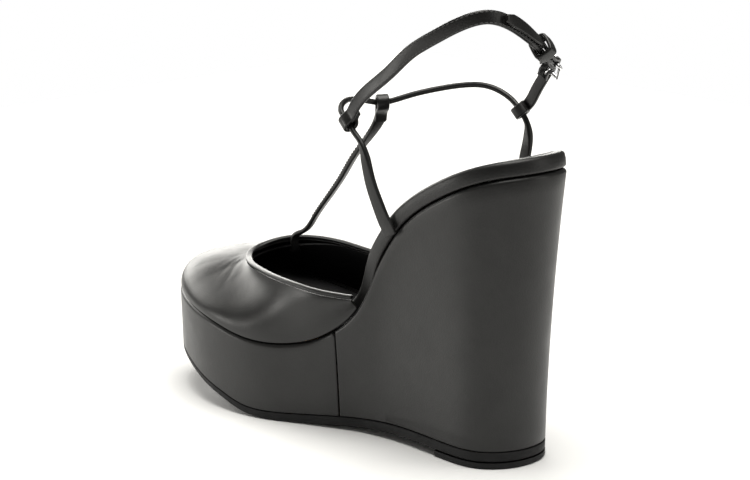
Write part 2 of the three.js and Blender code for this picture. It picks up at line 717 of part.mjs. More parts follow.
// The long strap: folded round the cord, round the ankle, down through the frame, round its bar, and back
// up outside itself as a free tail.
function ankleStrap() {
  const { along, facing } = loopAxes(loopAt.inner, place(31.4, 75, 148), direction(1, 0, 0));
  const loop = foldedEnd(loopAt.inner, along, facing, LOOP_RADIUS, 7.5, STRAP_HALF, LOOP_LEATHER);
  const middle = LONG_STRAP.map(([x, t, z, lean]) => {
    const point = place(x, t, z);
    return [point, strapFacing(point, lean), STRAP_HALF, STRAP_THIN];
  });
  const inwards = [...loop, ...middle].map(([point, face, half, thin]) => [point, face.clone().negate(), half, thin]);
  const up = buckleAlong.clone().negate();
  const fold = foldedEnd(bar, up, buckleFacing, BAR_FOLD, 5.5, STRAP_HALF, LOOP_LEATHER);
  const clear = STRAP_THIN + GAP + TAIL_THIN + 0.3;
  const over = (x, t, z, lean, off, half) => {
    const point = place(x, t, z);
    const face = strapFacing(point, lean);
    return [point.addScaledVector(face, off), face, half, TAIL_THIN];
  };
  const tail = [
    over(-12.2, 16.8, 171.3, 1, clear, TAIL_HALF),
    over(-5, 15, 176, 0.85, clear, TAIL_HALF),
    over(2, 14.8, 180.8, 0.6, clear + 0.2, TAIL_HALF),
    over(8, 15.3, 184.4, 0.45, clear + 0.6, TAIL_HALF),
    over(11, 15.8, 185.9, 0.35, clear + 1, TAIL_HALF * 0.6),
  ];
  const body = strap([...inwards, ...fold, ...tail], 2);
  return cut(body, [prongSlot(atBuckle(0.3, 0, 0), buckleAlong, buckleFacing)]);
}
add("ankle_strap", "leather", ankleStrap());

// The short strap: one end folded round the cord, the other round the frame's lower bar.
function buckleStrap() {
  const { along, facing } = loopAxes(loopAt.outer, place(-29.8, 38.6, 149.6), direction(-1, 0, 0));
  const loop = foldedEnd(loopAt.outer, along, facing, LOOP_RADIUS, 5.6, SHORT_HALF, LOOP_LEATHER);
  const lowBar = atFrame(FRAME_LENGTH, SHORT_STRAP_OFFSET, 0);
  const down = loopAt.outer.clone().sub(lowBar);
  down.addScaledVector(buckleAcross, -down.dot(buckleAcross)).normalize();
  const face = new THREE.Vector3().crossVectors(buckleAcross, down).normalize();
  if (face.x > 0) face.negate();
  const fold = foldedEnd(lowBar, down, face, BAR_FOLD, 4.6, SHORT_HALF, LOOP_LEATHER).reverse();
  const middle = loop.at(-1)[0].clone().lerp(fold[0][0], 0.5);
  const body = strap([...loop, [middle, face, SHORT_HALF, SHORT_THIN], ...fold], 3);
  return cut(body, [prongSlot(atFrame(FRAME_LENGTH, 0, 0), down, face)]);
}
add("buckle_strap", "leather", buckleStrap());

// A bent wire or a folded band that closes on itself, with corners rounded by a smooth closed curve.
function ring(corners, across, half, thin, count) {
  const path = new THREE.CatmullRomCurve3(corners, true);
  const sections = range(0, 1 - 1 / count, count - 1).map((share) => {
    const along = path.getTangent(share);
    const normal = new THREE.Vector3().crossVectors(along, across).normalize();
    return beltSection(path.getPoint(share), across, normal, half, thin, Math.min(half, thin) * 0.58);
  });
  return loft(sections, true);
}

function buckleFrame() {
  const corner = 1.1;
  const at = (a, w) => atFrame(a, w, 0);
  const corners = [];
  for (const side of [-1, 1]) {
    const ends = side < 0 ? [0, FRAME_LENGTH] : [FRAME_LENGTH, 0];
    for (const end of ends) {
      const into = end === 0 ? corner : -corner;
      const near = at(end + into, side * FRAME_HALF);
      const turn = at(end + into * 0.3, side * (FRAME_HALF - corner * 0.3));
      const next = at(end, side * (FRAME_HALF - corner));
      corners.push(...(end === ends[0] ? [next, turn, near] : [near, turn, next]));
    }
  }
  const normal = atFrame(0, 0, 1).sub(bar);
  return ring(corners, normal, BAR_RADIUS, BAR_RADIUS, 48);
}
add("buckle_frame", "silver", buckleFrame());

// The prong hangs on the lower bar by its eye and rests on the upper bar.
function buckleProng() {
  const wire = 0.6;
  const eye = BAR_RADIUS + GAP + wire;
  const at = (up, out) => atFrame(FRAME_LENGTH - up, 0, out);
  const knots = [];
  for (const degrees of range(70, 335, 8)) {
    const angle = THREE.MathUtils.degToRad(degrees);
    const point = at(eye * Math.cos(angle), eye * Math.sin(angle));
    knots.push([point, point.clone().sub(at(0, 0)).normalize(), wire, wire]);
  }
  knots.reverse();
  for (const up of [3.6, 6.5, FRAME_LENGTH + 1.2]) {
    knots.push([at(up, eye), atFrame(0, 0, 1).sub(bar), wire, wire]);
  }
  return strap(knots, 2);
}
add("buckle_prong", "silver", buckleProng());

// The keeper: a band round the long strap and its tail.
const keeperPlace = place(-12.1, 16.8, 171.25);
const keeperAlong = direction(-0.84, 0.2, -0.5);

function keeperLoop() {
  const [leather, halfLength] = [0.8, 2.8];
  const [low, high] = [-2.4, 4.5];
  const wide = STRAP_HALF + GAP + leather + 0.15;
  const facing = strapFacing(keeperPlace, 1);
  facing.addScaledVector(keeperAlong, -facing.dot(keeperAlong)).normalize();
  const across = new THREE.Vector3().crossVectors(facing, keeperAlong);
  const at = (w, n) => keeperPlace.clone().addScaledVector(across, w).addScaledVector(facing, n);
  const corners = [
    at(wide, low + 1.4), at(wide, high - 1.6), at(wide - 0.5, high - 0.4), at(wide - 1.7, high),
    at(1.7 - wide, high), at(0.5 - wide, high - 0.4), at(-wide, high - 1.6), at(-wide, low + 1.4),
    at(0.5 - wide, low + 0.3), at(1.7 - wide, low), at(wide - 1.7, low), at(wide - 0.5, low + 0.3),
  ];
  return ring(corners, keeperAlong, halfLength, leather, 36);
}
add("keeper_loop", "leather", keeperLoop());

// The origin is under the middle of the whole sandal, on the ground.
shoe.updateMatrixWorld(true);
const bounds = new THREE.Box3().setFromObject(shoe, true);
const middle = bounds.getCenter(new THREE.Vector3());
shoe.position.set(-middle.x, -middle.y, -bounds.min.z);

export default shoe;
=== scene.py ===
"""Looks of a black leather wedge sandal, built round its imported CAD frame.

Shapes are worked out in millimetres, with a place given as [x, t, z], where t is the distance from the
back of the heel, as in the CAD source. Blender's objects are in metres.
"""
import json
import math

import bpy
import numpy as np
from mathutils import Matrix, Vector


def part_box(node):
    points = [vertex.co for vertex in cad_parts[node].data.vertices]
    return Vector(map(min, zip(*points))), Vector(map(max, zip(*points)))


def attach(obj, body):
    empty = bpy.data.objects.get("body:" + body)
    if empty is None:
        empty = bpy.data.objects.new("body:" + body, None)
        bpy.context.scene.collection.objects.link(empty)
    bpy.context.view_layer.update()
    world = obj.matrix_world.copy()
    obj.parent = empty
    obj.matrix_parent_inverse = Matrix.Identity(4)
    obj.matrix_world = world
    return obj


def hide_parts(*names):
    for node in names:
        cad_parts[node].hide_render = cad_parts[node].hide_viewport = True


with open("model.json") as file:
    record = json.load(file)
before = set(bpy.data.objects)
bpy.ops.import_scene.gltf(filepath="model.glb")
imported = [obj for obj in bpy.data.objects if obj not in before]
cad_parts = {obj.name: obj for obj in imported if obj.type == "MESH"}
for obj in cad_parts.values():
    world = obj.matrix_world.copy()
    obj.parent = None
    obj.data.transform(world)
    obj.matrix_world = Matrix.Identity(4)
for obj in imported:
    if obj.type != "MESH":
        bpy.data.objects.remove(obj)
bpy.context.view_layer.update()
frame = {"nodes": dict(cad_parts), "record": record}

# ---- Driving dimensions, in millimetres ---------------------------------------------------
MM = 0.001
LENGTH = 218.4
GAP = 0.3
COVER = 1.2
EDGE_RADIUS = 2
FLANGE = 4.5
RIM_HEIGHT = 7
RIM_LEATHER = 0.9
RIM_OVERHANG = 0.3
INSIDE_VAMP = 4.5
TOE_INSET = 2.3
UPPER = 1.2
PUFF = 0.9
LINING = 0.8
BEAD = 0.8
WALL_HOLLOW = 1.2
SEAM_STATION = 8.6
VAMP_START = 7.4
TOPLIFT_FRONT = 3.6
HALF = 17
STATIONS = 2 * HALF
CORD_RADIUS = 1.25
LOOP_LEATHER = 0.8
LOOP_PLAY = 0.6
LOOP_RADIUS = CORD_RADIUS + LOOP_PLAY + LOOP_LEATHER
BAR_RADIUS = 0.9
BAR_FOLD = BAR_RADIUS + GAP + LOOP_LEATHER
STRAP_HALF = 2.9
STRAP_THIN = 1.1
TAIL_HALF = 2.6
TAIL_THIN = 0.7
SHORT_HALF = 2.5
SHORT_THIN = 1
SHORT_STRAP_OFFSET = 1.1
FRAME_LENGTH = 9.4
FRAME_HALF = 5.1
FRAME_TILT = math.radians(-25)
FRAME_CORNER = 1.1
SLOT_HALF = 0.9
PRONG_WIRE = 0.6
KEEPER_HALF_LENGTH = 2.8
KEEPER_LEATHER = 0.8

# The feather line seen from above, station by station: [x, t].
FEATHER = [
    [0, 0], [14, 4], [24.5, 17], [27.2, 34], [27, 50], [26.2, 63], [25.4, 73], [25, 82], [25.4, 92],
    [27.8, 104], [32.5, 118], [38, 133], [40.4, 150], [39.2, 168.5], [33.5, 186], [24.3, 201.5],
    [13.6, 212.5], [2.2, 218], [-8, 214.5], [-18.5, 205], [-26.8, 193], [-33.6, 179], [-38.5, 160],
    [-40.6, 142], [-39.2, 124], [-36, 106], [-33.3, 92], [-31.5, 82], [-30.4, 73], [-29.6, 63],
    [-28.9, 50], [-28, 34], [-24.5, 17], [-14, 4],
]
# The outline of the sole on the ground: [x, t].
TREAD = [
    [0, 8.5], [11.5, 11.2], [20, 20], [21.4, 35], [19.8, 50], [18.6, 63], [18.3, 73], [18.8, 82],
    [20.6, 92], [24.8, 104], [30.3, 118], [36.4, 133], [39.2, 150], [38.3, 168.5], [32.6, 186],
    [23.6, 201.3], [13.1, 212], [2.2, 217.4], [-7.5, 214], [-18, 204.5], [-26, 192.5], [-32.6, 178.6],
    [-37.3, 160], [-39.2, 142], [-37.6, 124], [-34, 106], [-30.8, 92], [-28.6, 82], [-27, 73],
    [-25.8, 63], [-24.6, 50], [-23.2, 35], [-20, 20], [-11.5, 11.2],
]
# The toe piece's top edge from the inner waist round the throat to the outer waist: [x, t, z].
TOPLINE = [
    [26.3, 82.5, 62.6], [30.2, 92, 62.9], [33.1, 103, 63.3], [33.4, 116, 63.9], [31, 131, 64],
    [26, 146.5, 63.7], [19.5, 160.5, 63.3], [12.5, 170, 63.4], [7, 174.8, 63.9], [2.5, 176.8, 64.4],
    [-2, 177.3, 65.2], [-6.5, 176.3, 66.2], [-11, 174, 67.3], [-16, 169.5, 68.2], [-21.5, 162, 68.3],
    [-27, 153, 67.3], [-31, 142, 65.4], [-33.8, 127, 63.4], [-34.8, 109, 62.6], [-33.8, 94, 62.5],
    [-31.7, 83, 62.6],
]
# Height of the feather line, height of the underside and thickness of the outsole: [t, height].
FEATHER_HEIGHT = [
    [-8, 126], [0, 124.8], [9, 123.1], [20, 119.5], [35.5, 112.3], [48, 105], [58, 97.2], [64.5, 90.2],
    [71, 81.4], [76, 73], [82, 62.2], [90, 52], [98.3, 45.3], [107, 40.1], [116, 36.9], [125, 35.4],
    [134, 35.2], [143.6, 36], [155.5, 38.2], [168, 40.6], [184, 42.8], [201, 44.6], [218, 45.6],
    [226, 46],
]
TREAD_HEIGHT = [
    [0, 3], [22, 3], [45, 3], [60, 3.1], [75, 2.9], [88, 2.3], [100, 1.6], [112, 0.8], [122, 0.25],
    [134, 0.2], [145, 1.5], [155, 4.6], [168, 8.6], [184, 13.3], [202, 16.8], [218, 19],
]
SOLE_THICKNESS = [[0, 4.2], [60, 4.2], [90, 4.1], [130, 3.7], [170, 2.8], [200, 2.4], [215, 2.3]]


# ---- Curves -------------------------------------------------------------------------------
def smooth_through(knots, values):
    """A natural cubic spline: a function that takes the values at the knots and has no kinks."""
    knots = np.asarray(knots, float)
    values = np.asarray(values, float).reshape(len(knots), -1)
    gaps = np.diff(knots)
    slopes = np.diff(values, axis=0) / gaps[:, None]
    system = np.eye(len(knots))
    target = np.zeros_like(values)
    for i in range(1, len(knots) - 1):
        system[i, i - 1:i + 2] = gaps[i - 1], 2 * (gaps[i - 1] + gaps[i]), gaps[i]
        target[i] = 6 * (slopes[i] - slopes[i - 1])
    bends = np.linalg.solve(system, target)

    def at(where):
        where = np.asarray(where, float)
        i = np.clip(np.searchsorted(knots, where, side="right") - 1, 0, len(gaps) - 1)
        gap = gaps[i][..., None]
        before = where[..., None] - knots[i][..., None]
        after = gap - before
        curved = (bends[i] * after**3 + bends[i + 1] * before**3) / (6 * gap)
        straight = (values[i] / gap - bends[i] * gap / 6) * after
        return curved + straight + (values[i + 1] / gap - bends[i + 1] * gap / 6) * before

    return at


def height_curve(points):
    points = np.array(points)
    curve = smooth_through(points[:, 0], points[:, 1])
    return lambda t: curve(t)[..., 0]


def path(points, closed=False):
    """A smooth curve through points, as a function of the point's number."""
    points = np.asarray(points, float)
    count = len(points)
    if closed:
        points = np.concatenate([points, points, points])
    run = np.concatenate([[0], np.cumsum(np.linalg.norm(np.diff(points, axis=0), axis=1))])
    curve = smooth_through(run, points)
    numbers = np.arange(len(points)) - (count if closed else 0)
    return lambda number: curve(np.interp(number, numbers, run))


def unit(vectors):
    return vectors / np.linalg.norm(vectors, axis=-1, keepdims=True)


def tangent(curve, number, step=0.01):
    return unit(curve(number + step) - curve(number - step))


def place(x, t, z=0.0):
    """From [x, t, z] to the CAD source's own x, y and z."""
    return np.array([x, LENGTH / 2 - t, z], float)


def direction(x, t, z):
    return unit(np.array([x, -t, z], float))


def smoothstep(value, low, high):
    share = np.clip((value - low) / (high - low), 0, 1)
    return share * share * (3 - 2 * share)


feather_line = path([place(*point) for point in FEATHER], closed=True)
tread_line = path([place(*point) for point in TREAD], closed=True)
topline = path([place(*point) for point in TOPLINE])
feather_height = height_curve(FEATHER_HEIGHT)
tread_height = height_curve(TREAD_HEIGHT)
sole_thickness = height_curve(SOLE_THICKNESS)


def turned_out(along):
    """The level direction square to a line that runs from heel to toe on the inner side."""
    return unit(np.stack([-along[..., 1], along[..., 0], np.zeros_like(along[..., 0])], -1))


def on_outline(line, station, inset):
    out = turned_out(tangent(line, station))
    return line(station) - out * np.asarray(inset, float)[..., None]


def bed(station, inset, lift):
    """A point inset from the feather line and lifted square to the footbed's slope."""
    station = np.asarray(station, float)
    point = on_outline(feather_line, station, inset)
    t = LENGTH / 2 - point[..., 1]
    fall = (feather_height(t + 0.5) - feather_height(t - 0.5))
    normal = unit(np.stack([np.zeros_like(t), fall, np.ones_like(t)], -1))
    point[..., 2] = feather_height(t)
    return point + normal * np.asarray(lift, float)[..., None]


def ground(station, inset, rise):
    """A point inset from the sole's outline; rise is a height above its underside, as a function of t."""
    station = np.asarray(station, float)
    point = on_outline(tread_line, station, inset)
    t = LENGTH / 2 - point[..., 1]
    point[..., 2] = tread_height(t) + rise(t)
    return point


def stations_between(start, end, step=0.1, fine_ends=False):
    count = max(2, round((end - start) / step))
    stations = np.linspace(start, end, count + 1)
    if fine_ends:
        near = np.array([0.004, 0.01, 0.018, 0.03, 0.045, 0.06])
        stations = np.unique(np.concatenate([stations, start + near, end - near]))
    return stations


# ---- Meshes -------------------------------------------------------------------------------
def cad_offset():
    """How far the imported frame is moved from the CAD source's own origin, in millimetres."""
    low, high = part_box("heel_screw")
    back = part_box("wedge_cover")[1].y
    return np.array([(low.x + high.x) / 2 / MM, back / MM - LENGTH / 2, 0])


OFFSET = cad_offset()
BODY_OF = {
    node: body for body, nodes in frame["record"]["behaviour"]["bodies"].items() for node in nodes
}


def ring_faces(sections, around, closed):
    faces = []
    for i in range(sections if closed else sections - 1):
        here = i * around
        there = (i + 1) % sections * around
        for j in range(around):
            k = (j + 1) % around
            faces.append((here + j, here + k, there + k, there + j))
    if not closed:
        last = (sections - 1) * around
        for j in range(around // 2 - 1):
            mate = around - 1 - j
            faces.append((mate, mate - 1, j + 1, j))
            faces.append((last + j, last + j + 1, last + mate - 1, last + mate))
    return faces


def volume(points, faces):
    """Six times the volume inside the faces, negative if they face inwards."""
    corners = np.array([(f[0], f[1], f[2]) for f in faces] + [(f[0], f[2], f[3]) for f in faces])
    a, b, c = (points[corners[:, i]] for i in range(3))
    return float(np.sum(a * np.cross(b, c)))


def make_piece(name, points, faces, material, sharp=50):
    """A mesh object from points in the CAD source's millimetres."""
    if volume(points, faces) < 0:
        faces = [tuple(reversed(face)) for face in faces]
    mesh = bpy.data.meshes.new(name)
    mesh.from_pydata(((points + OFFSET) * MM).tolist(), [], faces)
    mesh.validate()
    mesh.shade_smooth()
    mesh.set_sharp_from_angle(angle=math.radians(sharp))
    mesh.materials.append(material)
    piece = bpy.data.objects.new(name, mesh)
    bpy.context.scene.collection.objects.link(piece)
    return piece


def lofted(name, rings, material, closed=False, sharp=50):
    """One closed mesh through an array of rings of points: (sections, points, 3)."""
    sections, around = rings.shape[:2]
    return make_piece(name, rings.reshape(-1, 3), ring_faces(sections, around, closed), material, sharp)


def joined(name, parts, material, sharp=60):
    """One mesh object from several (points, faces) pairs."""
    points = np.concatenate([part[0] for part in parts])
    faces = []
    start = 0
    for part_points, part_faces in parts:
        if volume(part_points, part_faces) < 0:
            part_faces = [tuple(reversed(face)) for face in part_faces]
        faces += [tuple(start + i for i in face) for face in part_faces]
        start += len(part_points)
    return make_piece(name, points, faces, material, sharp)


def dress(piece, node, hides=True):
    """The piece rides with its CAD node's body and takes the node's place."""
    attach(piece, BODY_OF[node])
    if hides:
        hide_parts(node)
    return piece


# ---- Materials ----------------------------------------------------------------------------
class Nodes:
    """A short way to write a material's node tree."""

    def __init__(self, name):
        self.material = bpy.data.materials.new(name)
        self.material.use_nodes = True
        self.tree = self.material.node_tree
        self.shader = self.tree.nodes["Principled BSDF"]
        coordinates = self.tree.nodes.new("ShaderNodeTexCoord")
        self.place = coordinates.outputs["Object"]

    def link(self, source, target):
        self.tree.links.new(source, target)

    def noise(self, scale, detail=3.0, roughness=0.55, stretch=None):
        node = self.tree.nodes.new("ShaderNodeTexNoise")
        node.inputs["Scale"].default_value = scale
        node.inputs["Detail"].default_value = detail
        node.inputs["Roughness"].default_value = roughness
        self.link(self.stretched(stretch), node.inputs["Vector"])
        return node.outputs["Fac"]

    def cells(self, scale, feature="SMOOTH_F1"):
        node = self.tree.nodes.new("ShaderNodeTexVoronoi")
        node.feature = feature
        node.inputs["Scale"].default_value = scale
        self.link(self.place, node.inputs["Vector"])
        return node.outputs["Distance"]

    def stretched(self, stretch):
        if stretch is None:
            return self.place
        node = self.tree.nodes.new("ShaderNodeMapping")
        node.inputs["Scale"].default_value = stretch
        self.link(self.place, node.inputs["Vector"])
        return node.outputs["Vector"]

    def ramp(self, source, stops):
        """Colour stops: [(position, colour or grey level), ...]."""
        node = self.tree.nodes.new("ShaderNodeValToRGB")
        elements = node.color_ramp.elements
        while len(elements) < len(stops):
            elements.new(0.5)
        for element, (position, value) in zip(elements, stops):
            level = value if isinstance(value, tuple) else (value, value, value)
            element.position = position
            element.color = (*level, 1)
        self.link(source, node.inputs["Fac"])
        return node.outputs["Color"]

    def bump(self, height, strength, distance, under=None):
        node = self.tree.nodes.new("ShaderNodeBump")
        node.inputs["Strength"].default_value = strength
        node.inputs["Distance"].default_value = distance
        self.link(height, node.inputs["Height"])
        if under is not None:
            self.link(under, node.inputs["Normal"])
        return node.outputs["Normal"]

    def finish(self, color=None, roughness=None, normal=None, **plain):
        for source, socket in ((color, "Base Color"), (roughness, "Roughness"), (normal, "Normal")):
            if source is not None:
                self.link(source, self.shader.inputs[socket])
        for socket, value in plain.items():
            self.shader.inputs[socket.replace("_", " ")].default_value = value
        return self.material


def leather(name, dark, light, smooth, dull, grain=0.28):
    """Smooth dyed leather: fine pebble grain, faint soft waves and patches of more or less polish."""
    nodes = Nodes(name)
    tone = nodes.ramp(nodes.noise(60, 4), [(0.3, dark), (0.7, light)])
    polish = nodes.ramp(nodes.noise(95, 5, 0.6), [(0.25, smooth), (0.75, dull)])
    waves = nodes.bump(nodes.noise(42, 2), 0.22, 0.0011)
    pebble = nodes.bump(nodes.cells(1500), grain, 0.00013, waves)
    pores = nodes.bump(nodes.noise(5200, 2), grain * 0.7, 0.00004, pebble)
    return nodes.finish(tone, polish, pores, Specular_IOR_Level=0.42)


def rubber(name):
    nodes = Nodes(name)
    tone = nodes.ramp(nodes.noise(140, 4), [(0.3, (0.006, 0.006, 0.0065)), (0.7, (0.011, 0.011, 0.0115))])
    polish = nodes.ramp(nodes.noise(220, 5), [(0.25, 0.5), (0.75, 0.68)])
    skin = nodes.bump(nodes.noise(2600, 4), 0.3, 0.00006)
    return nodes.finish(tone, polish, skin, Specular_IOR_Level=0.22)


def metal(name, color, smooth, dull, stretch=None):
    nodes = Nodes(name)
    tone = nodes.ramp(nodes.noise(500, 3), [(0.3, color), (0.7, tuple(min(1, c * 1.05) for c in color))])
    polish = nodes.ramp(nodes.noise(900, 4, 0.6, stretch), [(0.3, smooth), (0.7, dull)])
    marks = nodes.bump(nodes.noise(3000, 3, 0.5, stretch), 0.05, 0.00002)
    return nodes.finish(tone, polish, marks, Metallic=1.0)


def pressed_cork(name):
    nodes = Nodes(name)
    tone = nodes.ramp(nodes.cells(420, "F1"), [(0.1, (0.34, 0.21, 0.11)), (0.6, (0.55, 0.38, 0.2))])
    crumbs = nodes.bump(nodes.cells(600, "F1"), 0.5, 0.0003)
    return nodes.finish(tone, None, crumbs, Roughness=0.9)


def fibre_board(name):
    nodes = Nodes(name)
    tone = nodes.ramp(nodes.noise(900, 5), [(0.3, (0.26, 0.18, 0.11)), (0.7, (0.38, 0.28, 0.18))])
    fibres = nodes.bump(nodes.noise(1500, 5, 0.6, (1, 0.2, 1)), 0.4, 0.0001)
    return nodes.finish(tone, None, fibres, Roughness=0.88)


def foam(name):
    nodes = Nodes(name)
    tone = nodes.ramp(nodes.cells(1600, "F1"), [(0.1, (0.6, 0.56, 0.48)), (0.5, (0.76, 0.73, 0.66))])
    pores = nodes.bump(nodes.cells(1900, "F1"), 0.5, 0.0002)
    return nodes.finish(tone, None, pores, Roughness=0.95)


black_leather = leather("black_leather", (0.0065,) * 3, (0.0105, 0.0103, 0.01), 0.33, 0.43)
strap_leather = leather("strap_leather", (0.005,) * 3, (0.0085, 0.0083, 0.008), 0.3, 0.42, 0.4)
rim_leather = leather("rim_leather", (0.0055,) * 3, (0.009, 0.0088, 0.0086), 0.36, 0.48, 0.5)
lining_leather = leather("lining_leather", (0.0035, 0.0035, 0.004), (0.006, 0.006, 0.0068), 0.6, 0.75)
thread = leather("thread", (0.035,) * 3, (0.06,) * 3, 0.5, 0.6)
sole_rubber = rubber("sole_rubber")
silver = metal("silver_plate", (0.86, 0.86, 0.87), 0.1, 0.18)
plain_steel = metal("plain_steel", (0.5, 0.5, 0.5), 0.3, 0.45, (1, 8, 1))
HIDDEN = {
    "platform_core": pressed_cork("pressed_cork"),
    "wedge_core": bpy.data.materials["pressed_cork"],
    "insole_board": fibre_board("fibre_board"),
    "toe_puff": bpy.data.materials["fibre_board"],
    "footbed_cushion": foam("foam"),
    "shank": plain_steel,
    "heel_screw": plain_steel,
}
for number in range(1, 5):
    HIDDEN[f"heel_nail_{number}"] = plain_steel
for node_name, material in HIDDEN.items():
    node_mesh = frame["nodes"][node_name].data
    node_mesh.materials.clear()
    node_mesh.materials.append(material)


# ---- Sole and wedge -----------------------------------------------------------------------
HEEL_END = 0.12
TOE_END = HALF - 0.12


def slab_rings(stations, side):
    """Rings across the shoe: the rows of one side, then those of the other side in reverse."""
    inner = side(stations)
    outer = side(STATIONS - stations)
    return np.concatenate([inner, outer[:, ::-1]], axis=1)


def outsole():
    """The outsole, with a rounded lower edge and a thin line where it meets the cover."""
    def side(stations):
        rows = [ground(stations, 9, lambda t: 0 * t), ground(stations, 1.2, lambda t: 0 * t)]
        for degrees in (20, 45, 70):
            angle = math.radians(degrees)
            inset = 1.2 - 1.1 * math.sin(angle)
            rows.append(ground(stations, inset, lambda t, a=angle: 0.9 * (1 - math.cos(a)) + 0 * t))
        rows.append(ground(stations, 0.05, lambda t: 0.9 + 0 * t))
        rows.append(ground(stations, 0, lambda t: sole_thickness(t) - 0.35))
        rows.append(ground(stations, 0.35, sole_thickness))
        return np.stack(rows, axis=1)

    rings = slab_rings(stations_between(HEEL_END, TOE_END), side)
    return lofted("outsole_rubber", rings, sole_rubber, sharp=38)


def heel_toplift():
    """The heel's wear piece: flat below, bevelled all round and cut square across its front."""
    def side(stations):
        front = (stations == TOPLIFT_FRONT)[:, None] * np.array([0.0, 1.0, 0.0])
        bevel = ((6, 0, 0.9), (0.9, 0, 0.9), (0.45, 0.2, 0.45), (0.1, 0.7, 0.1), (0, 1, 0))
        rows = []
        for inset, height, back in bevel:
            row = ground(stations, inset, lambda t: 0 * t)
            row[..., 2] = height
            rows.append(row + front * back)
        rows.append(ground(stations, 0, lambda t: -GAP + 0 * t))
        return np.stack(rows, axis=1)

    rings = slab_rings(stations_between(HEEL_END, TOPLIFT_FRONT), side)
    return lofted("heel_toplift_rubber", rings, sole_rubber, sharp=38)


def end_round(stations, start, end, radius=0.55):
    """How far a cover's leather turns in beside its end seams."""
    spacing = 9.0
    away = np.minimum(stations - start, end - stations) * spacing
    near = np.clip(radius - away, 0, radius)
    return radius - np.sqrt(radius**2 - near**2)


def cover(name, start, end):
    """The skin of the wedge or platform: up the wall, round the edge and in under the footbed."""
    stations = stations_between(start, end, 0.1, fine_ends=True)
    turned = end_round(stations, start, end)

    def skin(depth):
        inset = turned + depth
        low = ground(stations, inset, lambda t: sole_thickness(t) + GAP)
        top = bed(stations, inset, np.full_like(stations, -EDGE_RADIUS))
        t = LENGTH / 2 - top[..., 1]
        out = turned_out(tangent(feather_line, stations))
        rows = []
        for share in np.linspace(0, 1, 18):
            hollow = WALL_HOLLOW * (1 - smoothstep(t, 70, 110)) * 4 * share * (1 - share)
            tuck = 0.4 if share == 0 and depth == 0 else 0
            rows.append(low * (1 - share) + top * share - out * (hollow + tuck)[:, None])
        if depth == 0:
            rows.insert(1, rows[1] * 0.08 + low * 0.92)
        radius = EDGE_RADIUS - depth
        for degrees in (15, 30, 45, 60, 75, 90):
            angle = math.radians(degrees)
            rows.append(bed(
                stations,
                turned + EDGE_RADIUS - radius * math.cos(angle),
                -EDGE_RADIUS + radius * math.sin(angle) - turned,
            ))
        rows.append(bed(stations, turned + FLANGE, -depth - turned))
        if depth > 0:
            rows.insert(1, rows[1] * 0.08 + low * 0.92)
        return np.stack(rows, axis=1)

    rings = np.concatenate([skin(0), skin(COVER)[:, ::-1]], axis=1)
    return lofted(name, rings, black_leather)


dress(outsole(), "outsole")
dress(heel_toplift(), "heel_toplift")
seam_gap = 0.04
dress(cover("wedge_leather", seam_gap - SEAM_STATION, SEAM_STATION - seam_gap), "wedge_cover")
dress(cover("platform_leather", SEAM_STATION, STATIONS - SEAM_STATION), "platform_cover")


# ---- Footbed ------------------------------------------------------------------------------
def bed_inset(stations):
    """How far the footbed's edge stands in from the feather line."""
    t = LENGTH / 2 - feather_line(stations)[..., 1]
    inside = (INSIDE_VAMP + RIM_OVERHANG) * smoothstep(t, 70, 86)
    return inside - RIM_OVERHANG + TOE_INSET * smoothstep(t, 118, 182)


def footbed_rim():
    """The leather round the footbed's edge, as one ring with a rounded lower and upper edge."""
    stations = np.arange(0, STATIONS, 0.1)
    edge = bed_inset(stations)
    rows = []
    for leather_in in (0, RIM_LEATHER):
        low, high = GAP + leather_in, RIM_HEIGHT - leather_in
        small, large = 1.0 - leather_in * 0.6, 1.9 - leather_in * 0.7
        skin = [bed(stations, edge + 4, low)]
        for degrees in (90, 60, 30, 0):
            angle = math.radians(degrees)
            inset = leather_in + small * (1 - math.cos(angle))
            skin.append(bed(stations, edge + inset, low + small * (1 - math.sin(angle))))
        skin.append(bed(stations, edge + leather_in - 0.12 * (leather_in == 0), (low + high) / 2))
        for degrees in (0, 22.5, 45, 67.5, 90):
            angle = math.radians(degrees)
            inset = leather_in + large * (1 - math.cos(angle))
            skin.append(bed(stations, edge + inset, high - large * (1 - math.sin(angle))))
        skin.append(bed(stations, edge + FLANGE, high))
        rows.append(np.stack(skin, axis=1))
    rings = np.concatenate([rows[0], rows[1][:, ::-1]], axis=1)
    return lofted("footbed_rim_leather", rings, rim_leather, closed=True)


def sock_lining():
    """The leather underfoot, with softly turned edges."""
    inset = FLANGE + GAP

    def side(stations):
        edge = bed_inset(stations) + inset
        rows = [(edge + 3, 6.0), (edge, 6.0), (edge, 6.5), (edge + 0.25, 6.8), (edge + 0.8, 6.9)]
        rows += [(edge + 4, 6.88), (edge + 9, 6.82)]
        return np.stack([bed(stations, row, lift + 0 * stations) for row, lift in rows], axis=1)

    rings = slab_rings(stations_between(HEEL_END, TOE_END), side)
    return lofted("sock_lining_leather", rings, lining_leather, sharp=60)


dress(footbed_rim(), "footbed_rim")
dress(sock_lining(), "sock_lining")


